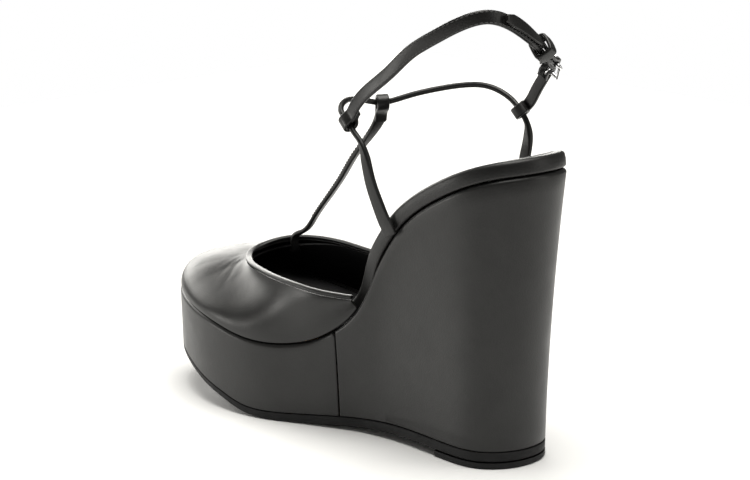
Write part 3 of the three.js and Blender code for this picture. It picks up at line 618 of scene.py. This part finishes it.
# ---- Toe piece ----------------------------------------------------------------------------
def toe_surface(stations, shares):
    """The toe piece's outer face from the feather line to just under the topline, with its normals."""
    toe = smoothstep(5 - np.abs(stations - HALF), 0, 5)[:, None]
    foot = bed(stations, np.full_like(stations, 0.25), GAP + 0.1)
    number = stations - 7
    top = topline(number)
    away = turned_out(tangent(topline, number))
    side = turned_out(tangent(feather_line, stations))
    top[:, 2] -= 2 * BEAD + GAP
    height = (top[:, 2] - foot[:, 2])[:, None]
    up = np.array([0.0, 0.0, 1.0])
    bulge = foot + side * 0.09 * height + up * height * (0.38 + 0.22 * toe)
    reach = 0.1 * height * (1 - toe) + 26 * toe
    shoulder = top + away * reach - up * (0.34 * height * (1 - toe) + 2.5 * toe)
    s = shares[None, :, None]
    foot, bulge, shoulder, top = (corner[:, None, :] for corner in (foot, bulge, shoulder, top))
    points = foot * (1 - s)**3 + 3 * bulge * s * (1 - s)**2 + 3 * shoulder * s**2 * (1 - s) + top * s**3
    along = np.gradient(points, axis=0)
    across = np.gradient(points, axis=1)
    return points, unit(np.cross(along, across))


# Creases in the toe piece, beside the throat: station and share at each end, depth and width in mm.
CREASES = [
    ((14.3, 0.96), (12.9, 0.45), 0.08, 1.4),
    ((14.8, 0.95), (13.5, 0.5), 0.06, 1.1),
    ((15.3, 0.95), (14.2, 0.6), 0.04, 0.9),
]


def crease_depth(stations, shares):
    """How far the creases press into the toe piece."""
    station, share = np.meshgrid(stations, shares, indexing="ij")
    depth = np.zeros_like(station)
    across_scale, up_scale = 11.0, 36.0
    for (s0, h0), (s1, h1), deep, wide in CREASES:
        run = np.array([(s1 - s0) * across_scale, (h1 - h0) * up_scale])
        length = np.hypot(*run)
        run /= length
        dx = (station - s0) * across_scale
        dy = (share - h0) * up_scale
        along = (dx * run[0] + dy * run[1]) / length
        bow = 1.6 * np.sin(np.clip(along, 0, 1) * math.pi)
        off = dx * run[1] - dy * run[0] - bow
        fade = smoothstep(along, -0.05, 0.2) * (1 - smoothstep(along, 0.5, 1.05))
        ridge = 0.45 * np.exp(-((off - 1.6 * wide) / (1.1 * wide)) ** 2)
        depth += deep * fade * (np.exp(-((off / wide) ** 2)) - ridge)
    return depth


def shell(name, start, end, shares, depth_at, thickness, material, creased=False):
    """A curved sheet that lies a given depth inside the toe piece's outer face."""
    stations = stations_between(start, end, 0.08)
    points, inwards = toe_surface(stations, shares)
    if np.sum(inwards[:, :, 2]) > 0:
        inwards = -inwards
    depth = np.broadcast_to(depth_at(stations)[:, None], points.shape[:2]).copy()
    if creased:
        depth += crease_depth(stations, shares)
    outer = points + inwards * depth[..., None]
    inner = points + inwards * (depth + thickness)[..., None]
    lip = points[:, -1:] + inwards[:, -1:] * (depth[:, -1:] + thickness / 2)[..., None]
    rings = np.concatenate([outer, lip, lip, inner[:, ::-1]], axis=1)
    return lofted(name, rings, material, sharp=60)


def toe_pieces():
    full = np.linspace(0, 1, 49)
    upper = shell(
        "toe_leather", VAMP_START, STATIONS - VAMP_START, full,
        lambda s: 0 * s, UPPER, black_leather, creased=True,
    )

    def lining_depth(stations):
        near_toe = 1 - smoothstep(np.abs(stations - HALF), 4.2, 5.6)
        return UPPER + GAP + (PUFF + GAP) * near_toe

    lining = shell(
        "toe_lining_leather", VAMP_START + 0.9, STATIONS - VAMP_START - 0.9, full,
        lining_depth, LINING, lining_leather,
    )
    return upper, lining


def topline_bead():
    """The folded edge round the opening: a rolled bead with a flat turning inside it."""
    numbers = np.linspace(VAMP_START - 7, len(TOPLINE) - 1 - (VAMP_START - 7), 330)
    along = tangent(topline, numbers)
    away = turned_out(along)
    centre = topline(numbers) - away * 1.2
    centre[:, 2] -= BEAD
    up = np.array([0.0, 0.0, 1.0])
    rows = []
    for angle in np.linspace(0, 2 * math.pi, 28, endpoint=False):
        x = 1.5 * math.copysign(abs(math.cos(angle)) ** 0.75, math.cos(angle))
        y = BEAD * math.copysign(abs(math.sin(angle)) ** 0.8, math.sin(angle))
        y += 0.12 * math.cos(angle) * (math.sin(angle) > 0)
        rows.append(centre + away * x + up * y)
    return lofted("topline_bead", np.stack(rows, axis=1), strap_leather)


toe_leather, toe_lining = toe_pieces()
dress(toe_leather, "vamp_upper")
dress(toe_lining, "vamp_lining")
dress(topline_bead(), "topline_binding")


# ---- Straps -------------------------------------------------------------------------------
# A strap follows its knots. A knot is (place, facing, half width, half thickness): facing points out of
# the strap's face.
def strap_line(knots, steps):
    """Places, directions along, facings, half widths and half thicknesses down a strap."""
    count = len(knots)
    numbers = np.linspace(0, count - 1, (count - 1) * steps + 1)
    places, facings, halves, thins = (np.array([knot[i] for knot in knots], float) for i in range(4))
    line = path(places)
    along = tangent(line, numbers)
    facing = np.stack([np.interp(numbers, range(count), column) for column in facings.T], -1)
    facing = unit(facing - along * np.sum(facing * along, -1, keepdims=True))
    half = np.interp(numbers, range(count), halves)
    thin = np.interp(numbers, range(count), thins)
    return line(numbers), along, facing, half, thin


def strap_rings(knots, steps):
    """Rings round a strap: a rounded oblong where it is flat and a circle where it is a cord."""
    centre, along, facing, half, thin = strap_line(knots, steps)
    across = np.cross(along, facing)
    turns = np.linspace(0, math.pi / 2, 6)
    round_off = 0.7 + 0.3 * smoothstep(thin / half, 0.5, 1)
    corner = np.minimum(half, thin) * round_off
    wide, high = half - corner, thin - corner
    rows = []
    for quarter in range(4):
        x_side = (1, -1, -1, 1)[quarter]
        y_side = (1, 1, -1, -1)[quarter]
        for turn in turns:
            angle = turn + quarter * math.pi / 2
            x = wide * x_side + corner * math.cos(angle)
            y = high * y_side + corner * math.sin(angle)
            rows.append(centre + across * x[:, None] + facing * y[:, None])
    rings = np.stack(rows, axis=1)
    for end in (0, -1):
        rings[end] = centre[end] + (rings[end] - centre[end]) * 0.8
    return rings


def folded_end(centre, along, facing, radius, tail, half, thin):
    """Knots of a strap end folded round something round: a short tail, the bend, then the strap."""
    layer = thin + GAP / 2
    bulge = (0.35 * radius, 0.93 * radius)

    def knot(a, n, face):
        return centre + along * a + facing * n, face, half, thin

    knots = [
        knot(tail, -layer, -facing),
        knot(radius + 1.6, -layer - 0.05, -facing),
        knot(bulge[0], -bulge[1], -facing),
    ]
    for degrees in np.linspace(-120, -240, 5):
        angle = math.radians(degrees)
        face = along * math.cos(angle) + facing * math.sin(angle)
        knots.append(knot(radius * math.cos(angle), radius * math.sin(angle), face))
    knots += [
        knot(bulge[0], bulge[1], facing),
        knot(radius + 1.6, layer + 0.05, facing),
        knot(tail, layer, facing),
    ]
    return knots


LOOP_INNER = place(30, 85.2, 137.6)
LOOP_OUTER = place(-32.6, 46.5, 139.4)
LOOP_FRONT = place(-1.6, 97.6, 140.1)
ANKLE_AXIS = place(-1, 52)


def around_ankle(point):
    """The level direction from the middle of the ankle to a place."""
    return unit((point - ANKLE_AXIS) * (1, 1, 0))


def cord_knots():
    """One strap of folded leather from the inner waist, over the instep, to the outer side of the heel."""
    def flat(x, t, z, half, thin, side):
        return place(x, t, z), direction(side, 0, 0.12), half, thin

    def cord(x, t, z):
        return place(x, t, z), direction(x / 30, (t - 52) / 60, 0.3), CORD_RADIUS, CORD_RADIUS

    return [
        flat(28.4, 61.7, 92.9, 3.4, 0.7, 1),
        flat(28.5, 63.2, 95.6, 3.3, 0.7, 1),
        flat(28.6, 65.3, 98.6, 3.2, 0.8, 1),
        flat(29, 68.6, 104.9, 3, 0.95, 1),
        flat(30, 71.9, 113.7, 2.7, 1.1, 1),
        flat(31, 74, 124, 2.2, 1.4, 1),
        cord(31, 76.9, 130.4),
        cord(30.6, 82.2, 134.8),
        (LOOP_INNER, direction(1, 0.5, 0.3), CORD_RADIUS, CORD_RADIUS),
        cord(28.6, 91, 141),
        cord(26, 93.6, 143),
        cord(22.3, 95.2, 144.1),
        cord(17, 97.6, 143.9),
        cord(10, 99.8, 142.6),
        cord(3, 99.4, 140.8),
        (LOOP_FRONT, direction(0, 0.8, 0.6), CORD_RADIUS, CORD_RADIUS),
        cord(-5.5, 93.6, 141.3),
        cord(-11, 88.4, 143.6),
        cord(-18, 81.4, 145.9),
        cord(-25, 71.8, 148),
        cord(-29, 63.1, 148.3),
        cord(-31.2, 55.3, 146),
        cord(-32.2, 50, 142.8),
        (LOOP_OUTER, direction(-1, 0, 0.3), CORD_RADIUS, CORD_RADIUS),
        cord(-34, 43.9, 134.2),
        flat(-34.2, 43.3, 130, 2, 1.5, -1),
        flat(-33, 43, 124, 2.6, 1.1, -1),
        flat(-31, 42.4, 118, 3, 0.8, -1),
        flat(-30.3, 41.2, 114, 3.2, 0.7, -1),
        flat(-30.2, 39.4, 111.1, 3.3, 0.7, -1),
    ]


CORD = cord_knots()


def loop_axes(loop, towards, outwards):
    """Axes of a strap end folded round the cord: along is the strap, square to the cord."""
    number = next(i for i, knot in enumerate(CORD) if knot[0] is loop)
    cord = tangent(path([knot[0] for knot in CORD]), number)
    along = towards - loop
    along = unit(along - cord * np.dot(along, cord))
    facing = unit(np.cross(along, cord))
    return along, facing * math.copysign(1, np.dot(facing, outwards))


T_STATION = 20.1


def t_strap_knots():
    """The strap that holds the cord down at the front: it comes out from under the toe piece."""
    along, facing = loop_axes(LOOP_FRONT, place(-6, 118.5, 114.2), direction(0, 1, 0.5))
    fold = folded_end(LOOP_FRONT, along, facing, LOOP_RADIUS + 0.15, 11, 2.6, LOOP_LEATHER)
    under = UPPER + LINING + PUFF + 4 * GAP + 0.9
    number = T_STATION - 7
    edge = tangent(topline, number)
    inwards = unit(np.array([edge[1], -edge[0], 0.0]))

    def behind_edge(inset, drop):
        point = topline(number) + inwards * inset - np.array([0, 0, drop])
        return point, direction(-0.2, 0.8, 0.6), 1.8, 0.9

    def tucked(share):
        around = np.array([-0.02, 0, 0.02])
        points, inwards = toe_surface(T_STATION + around, share + around)
        inward = inwards[1, 1] * math.copysign(1, -inwards[1, 1][2])
        return points[1, 1] + inward * under, -inward, 3, 0.8

    def down(x, t, z, half, thin):
        return place(x, t, z), direction(0.2, 0.8, 0.6), half, thin

    return [
        *fold,
        down(-6, 118.5, 114.2, 1.9, 1.1),
        down(-8.2, 128, 104, 1.9, 1.1),
        down(-11, 141, 91, 2, 1),
        down(-13.4, 153.4, 78.6, 1.9, 0.9),
        (place(-13.5, 160.4, 71.8), direction(0.1, 0.8, 0.6), 1.8, 0.9),
        behind_edge(5.2, 0),
        behind_edge(3.8, 5.6),
        tucked(0.88),
        tucked(0.76),
    ]


# Axes of the buckle: along runs down the long strap to the upper bar, which it is folded round, and
# facing points away from the ankle. The frame stands at an angle to the strap.
BAR = place(-24, 21.3, 165.1)
BUCKLE_ALONG = direction(-0.813, 0.463, -0.356)
BUCKLE_FACING = direction(-0.556, -0.427, 0.714)
BUCKLE_FACING = unit(BUCKLE_FACING - BUCKLE_ALONG * np.dot(BUCKLE_FACING, BUCKLE_ALONG))
BUCKLE_ACROSS = np.cross(BUCKLE_FACING, BUCKLE_ALONG)
FRAME_ALONG = BUCKLE_ALONG * math.cos(FRAME_TILT) + BUCKLE_FACING * math.sin(FRAME_TILT)
FRAME_FACING = BUCKLE_FACING * math.cos(FRAME_TILT) - BUCKLE_ALONG * math.sin(FRAME_TILT)
# The long strap round the back of the ankle: places on its middle line, and how far its face leans up.
LONG_STRAP = [
    (32.5, 58.9, 161.6, 0), (32.2, 47.4, 171.1, 0), (30.6, 33.7, 179.4, 0),
    (26.5, 24.9, 184.7, 0.05), (19, 18.1, 187.5, 0.15), (10, 15.6, 185.3, 0.35), (2, 14.8, 180.8, 0.6),
    (-5, 15, 176, 0.85), (-12, 16.8, 171.2, 1),
]


def at_frame(a, w, n):
    """A place on the buckle: a down from the upper bar, w across and n outwards."""
    return BAR + FRAME_ALONG * a + BUCKLE_ACROSS * w + FRAME_FACING * n


def strap_facing(point, lean):
    return unit(around_ankle(point) + np.array([0, 0, lean]))


def long_strap_knots():
    """Folded round the cord, round the ankle, down through the frame, round its bar and back up."""
    along, facing = loop_axes(LOOP_INNER, place(31.4, 75, 148), direction(1, 0, 0))
    knots = folded_end(LOOP_INNER, along, facing, LOOP_RADIUS, 7.5, STRAP_HALF, LOOP_LEATHER)
    for x, t, z, lean in LONG_STRAP:
        point = place(x, t, z)
        knots.append((point, strap_facing(point, lean), STRAP_HALF, STRAP_THIN))
    inner_layer = [(point, -face, half, thin) for point, face, half, thin in knots]
    fold = folded_end(BAR, -BUCKLE_ALONG, BUCKLE_FACING, BAR_FOLD, 5.5, STRAP_HALF, LOOP_LEATHER)
    clear = STRAP_THIN + GAP + TAIL_THIN + 0.3
    tail = []
    for x, t, z, lean, off, half in (
        (-12.2, 16.8, 171.3, 1, clear, TAIL_HALF), (-5, 15, 176, 0.85, clear, TAIL_HALF),
        (2, 14.8, 180.8, 0.6, clear + 0.2, TAIL_HALF), (8, 15.3, 184.4, 0.45, clear + 0.6, TAIL_HALF),
        (11, 15.8, 185.9, 0.35, clear + 1, TAIL_HALF * 0.6),
    ):
        point = place(x, t, z)
        face = strap_facing(point, lean)
        tail.append((point + face * off, face, half, TAIL_THIN))
    return [*inner_layer, *fold, *tail]


def short_strap_knots():
    """One end folded round the cord, the other round the frame's lower bar."""
    along, facing = loop_axes(LOOP_OUTER, place(-29.8, 38.6, 149.6), direction(-1, 0, 0))
    loop = folded_end(LOOP_OUTER, along, facing, LOOP_RADIUS, 5.6, SHORT_HALF, LOOP_LEATHER)
    low_bar = at_frame(FRAME_LENGTH, SHORT_STRAP_OFFSET, 0)
    down = LOOP_OUTER - low_bar
    down = unit(down - BUCKLE_ACROSS * np.dot(down, BUCKLE_ACROSS))
    face = unit(np.cross(BUCKLE_ACROSS, down))
    face *= math.copysign(1, -face[0])
    fold = folded_end(low_bar, down, face, BAR_FOLD, 4.6, SHORT_HALF, LOOP_LEATHER)[::-1]
    middle = ((loop[-1][0] + fold[0][0]) / 2, face, SHORT_HALF, SHORT_THIN)
    return [*loop, middle, *fold], down, face


def cut_slot(piece, centre, along, facing):
    """Cut the prong's slot through a fold."""
    across = np.cross(facing, along)
    half_length = along * BAR_FOLD * 1.6
    half_width = across * SLOT_HALF
    half_depth = facing * BAR_FOLD * 2
    corners = []
    for end in (-1, 1):
        for side, level in ((-1, -1), (1, -1), (1, 1), (-1, 1)):
            corners.append(centre + half_length * end + half_width * side + half_depth * level)
    box = lofted("slot_cutter", np.array(corners).reshape(2, 4, 3), strap_leather)
    cutter = piece.modifiers.new("slot", "BOOLEAN")
    cutter.operation = "DIFFERENCE"
    cutter.solver = "EXACT"
    cutter.object = box
    seen = piece.evaluated_get(bpy.context.evaluated_depsgraph_get())
    mesh = bpy.data.meshes.new_from_object(seen)
    piece.modifiers.clear()
    piece.data = mesh
    bpy.data.objects.remove(box)


def closed_band(corners, across, half, thin, steps, round_off):
    """Rings of a closed band that passes through its corners."""
    line = path(corners, closed=True)
    numbers = np.linspace(0, len(corners), len(corners) * steps, endpoint=False)
    along = tangent(line, numbers)
    normal = unit(np.cross(along, across))
    corner = min(half, thin) * round_off
    rows = []
    for quarter in range(4):
        x = (half - corner) * (1, -1, -1, 1)[quarter]
        y = (thin - corner) * (1, 1, -1, -1)[quarter]
        for turn in np.linspace(0, math.pi / 2, 5):
            angle = turn + quarter * math.pi / 2
            offset = across * (x + corner * math.cos(angle))
            rows.append(line(numbers) + offset + normal * (y + corner * math.sin(angle)))
    return np.stack(rows, axis=1)


def frame_corners():
    """The buckle frame's middle line: an oblong with round corners and straight sides."""
    radius = FRAME_CORNER
    arcs = []
    for a, w, start in (
        (FRAME_LENGTH - radius, FRAME_HALF - radius, 0), (radius, FRAME_HALF - radius, 90),
        (radius, radius - FRAME_HALF, 180), (FRAME_LENGTH - radius, radius - FRAME_HALF, 270),
    ):
        angles = [math.radians(start + degrees) for degrees in (0, 22.5, 45, 67.5, 90)]
        arcs.append([at_frame(a + radius * math.cos(t), w + radius * math.sin(t), 0) for t in angles])
    corners = []
    for number, arc in enumerate(arcs):
        begin, end = arc[-1], arcs[(number + 1) % 4][0]
        corners += arc + [begin + (end - begin) * share for share in (0.1, 0.3, 0.5, 0.7, 0.9)]
    return corners


def prong_knots():
    """The prong hangs on the lower bar by its eye and rests on the upper bar."""
    wire = PRONG_WIRE
    eye = BAR_RADIUS + GAP + wire
    knots = []
    for degrees in np.linspace(335, 70, 9):
        angle = math.radians(degrees)
        outward = -FRAME_ALONG * math.cos(angle) + FRAME_FACING * math.sin(angle)
        knots.append((at_frame(FRAME_LENGTH, 0, 0) + outward * eye, outward, wire, wire))
    for up in (3.6, 6.5, FRAME_LENGTH + 1.2):
        knots.append((at_frame(FRAME_LENGTH - up, 0, eye), FRAME_FACING, wire, wire))
    return knots


def keeper_rings():
    """The keeper: a leather band round the long strap and its tail."""
    middle = place(-12.1, 16.8, 171.25)
    along = direction(-0.84, 0.2, -0.5)
    low, high = -2.4, 4.5
    wide = STRAP_HALF + GAP + KEEPER_LEATHER + 0.15
    facing = strap_facing(middle, 1)
    facing = unit(facing - along * np.dot(facing, along))
    across = np.cross(facing, along)
    corners = [
        middle + across * w + facing * n
        for w, n in (
            (wide, low + 1.4), (wide, high - 1.6), (wide - 0.5, high - 0.4), (wide - 1.7, high),
            (1.7 - wide, high), (0.5 - wide, high - 0.4), (-wide, high - 1.6), (-wide, low + 1.4),
            (0.5 - wide, low + 0.3), (1.7 - wide, low), (wide - 1.7, low), (wide - 0.5, low + 0.3),
        )
    ]
    return closed_band(corners, along, KEEPER_HALF_LENGTH, KEEPER_LEATHER, 6, 0.85)


def stitch(start, end, facing, radius=0.2):
    """One stitch: a short thread with pinched ends, half sunk in the leather."""
    run = unit(end - start)
    across = np.cross(facing, run)
    points = []
    for share, swell, rise in ((0, 0.3, -0.2), (0.18, 1, 0), (0.5, 1, 0.35), (0.82, 1, 0), (1, 0.3, -0.2)):
        centre = start + (end - start) * share + facing * rise * radius
        for angle in np.linspace(0, 2 * math.pi, 6, endpoint=False):
            points.append(centre + (across * math.cos(angle) + facing * math.sin(angle)) * radius * swell)
    return np.array(points), ring_faces(5, 6, False)


def stitching(name, knots, first, last, sides, face, margin=0.75, pitch=2.1):
    """Rows of stitches near the edges of a strap, between two of its knots."""
    centre, along, facing, half, thin = strap_line(knots, 12)
    facing = facing * face
    across = np.cross(along, facing)
    stitches = []
    for side in sides:
        offset = across * (side * (half - margin))[:, None] + facing * thin[:, None]
        seam = (centre + offset)[first * 12:last * 12 + 1]
        run = np.concatenate([[0], np.cumsum(np.linalg.norm(np.diff(seam, axis=0), axis=1))])
        count = int(run[-1] / pitch)

        def on_seam(distance):
            return np.array([np.interp(distance, run, seam[:, i]) for i in range(3)])

        for i in range(count):
            start, end = on_seam((i + 0.14) * pitch), on_seam((i + 0.86) * pitch)
            nearest = np.argmin(np.linalg.norm(seam - start, axis=1)) + first * 12
            stitches.append(stitch(start, end, facing[nearest]))
    return joined(name, stitches, thread)


def straps():
    cord_leather = lofted("cord_leather", strap_rings(CORD, 9), strap_leather)
    dress(cord_leather, "instep_cord")

    t_knots = t_strap_knots()
    dress(lofted("t_strap_leather", strap_rings(t_knots, 8), strap_leather), "t_strap")
    t_seams = stitching("t_strap_stitching", t_knots, 10, 14, (-1, 1), 1, 0.55, 1.9)
    dress(t_seams, "t_strap", hides=False)

    long_knots = long_strap_knots()
    long_strap = lofted("ankle_strap_leather", strap_rings(long_knots, 8), strap_leather)
    cut_slot(long_strap, BAR + BUCKLE_ALONG * 0.3, BUCKLE_ALONG, BUCKLE_FACING)
    dress(long_strap, "ankle_strap")
    long_seams = stitching("ankle_strap_stitching", long_knots, 10, 19, (-1, 1), -1)
    dress(long_seams, "ankle_strap", hides=False)

    short_knots, down, face = short_strap_knots()
    short_strap = lofted("buckle_strap_leather", strap_rings(short_knots, 8), strap_leather)
    cut_slot(short_strap, at_frame(FRAME_LENGTH, 0, 0), down, face)
    dress(short_strap, "buckle_strap")

    dress(lofted("keeper_leather", keeper_rings(), strap_leather, closed=True), "keeper_loop")


def buckle():
    bars = closed_band(np.array(frame_corners()), FRAME_FACING, BAR_RADIUS, BAR_RADIUS, 3, 0.999)
    dress(lofted("buckle_frame_bars", bars, silver, closed=True), "buckle_frame")
    dress(lofted("buckle_prong_wire", strap_rings(prong_knots(), 8), silver), "buckle_prong")


straps()
buckle()



# ---- Floor, light and camera ----------------------------------------------------------------
def studio_floor():
    """A pale table under the sole."""
    mesh = bpy.data.meshes.new("studio_floor")
    half = 0.7
    corners = [(-half, -half, 0), (half, -half, 0), (half, half, 0), (-half, half, 0)]
    mesh.from_pydata(corners, [], [(0, 1, 2, 3)])
    floor = bpy.data.objects.new("studio_floor", mesh)
    bpy.context.scene.collection.objects.link(floor)
    nodes = Nodes("pale_floor")
    tone = nodes.ramp(nodes.noise(3, 2), [(0.3, 0.96), (0.7, 0.97)])
    mesh.materials.append(nodes.finish(tone, Roughness=0.9, Specular_IOR_Level=0.1))


def area_light(name, place_m, target_m, size, energy, size_y=None):
    lamp = bpy.data.lights.new(name, "AREA")
    lamp.shape = "RECTANGLE"
    lamp.size = size
    lamp.size_y = size_y or size
    lamp.energy = energy
    lamp.color = (1, 0.985, 0.94)
    holder = bpy.data.objects.new(name, lamp)
    holder.location = place_m
    holder.rotation_euler = (Vector(target_m) - Vector(place_m)).to_track_quat("-Z", "Y").to_euler()
    bpy.context.scene.collection.objects.link(holder)


def surroundings(level):
    """A bright studio all round; the camera sees it as plain white."""
    world = bpy.data.worlds.new("studio")
    bpy.context.scene.world = world
    world.use_nodes = True
    tree = world.node_tree
    tree.nodes.clear()
    output = tree.nodes.new("ShaderNodeOutputWorld")
    seen = tree.nodes.new("ShaderNodeBackground")
    seen.inputs["Color"].default_value = (1, 1, 1, 1)
    seen.inputs["Strength"].default_value = 1.0
    lit = tree.nodes.new("ShaderNodeBackground")
    lit.inputs["Color"].default_value = (1, 0.985, 0.94, 1)
    lit.inputs["Strength"].default_value = level
    ray = tree.nodes.new("ShaderNodeLightPath")
    mix = tree.nodes.new("ShaderNodeMixShader")
    tree.links.new(ray.outputs["Is Camera Ray"], mix.inputs["Fac"])
    tree.links.new(lit.outputs["Background"], mix.inputs[1])
    tree.links.new(seen.outputs["Background"], mix.inputs[2])
    tree.links.new(mix.outputs["Shader"], output.inputs["Surface"])


def product_camera():
    azimuth, elevation, distance = math.radians(136), math.radians(13.3), 1.2
    back = Vector((
        math.sin(azimuth) * math.cos(elevation),
        -math.cos(azimuth) * math.cos(elevation),
        math.sin(elevation),
    ))
    target = Vector(((-6.9 + OFFSET[0]) * MM, (LENGTH / 2 - 107.6 + OFFSET[1]) * MM, 77.5 * MM))
    lens = bpy.data.cameras.new("product_camera")
    lens.lens = 132.9
    lens.sensor_width = 36
    lens.clip_start = 0.05
    camera = bpy.data.objects.new("product_camera", lens)
    camera.location = target + back * distance
    camera.rotation_euler = (-back).to_track_quat("-Z", "Y").to_euler()
    bpy.context.scene.collection.objects.link(camera)
    bpy.context.scene.camera = camera


studio_floor()
surroundings(0.14)
area_light("toe_softbox", (0.15, -1.5, 0.7), (0, -0.08, 0.05), 0.9, 7, 0.7)
area_light("top_softbox", (0, 0.1, 1.5), (0, 0, 0.08), 1.2, 29)
area_light("backdrop_softbox", (-0.8, -1.25, 0.35), (0, -0.08, 0.06), 1.3, 14, 0.5)
area_light("wedge_softbox", (0.95, -0.95, 0.1), (0.02, 0.05, 0.05), 0.3, 3, 0.2)
area_light("heel_edge_softbox", (-0.7, 1.3, 0.5), (0, 0.08, 0.08), 0.5, 2.5, 0.9)
product_camera()
bpy.context.scene.view_settings.view_transform = "Standard"
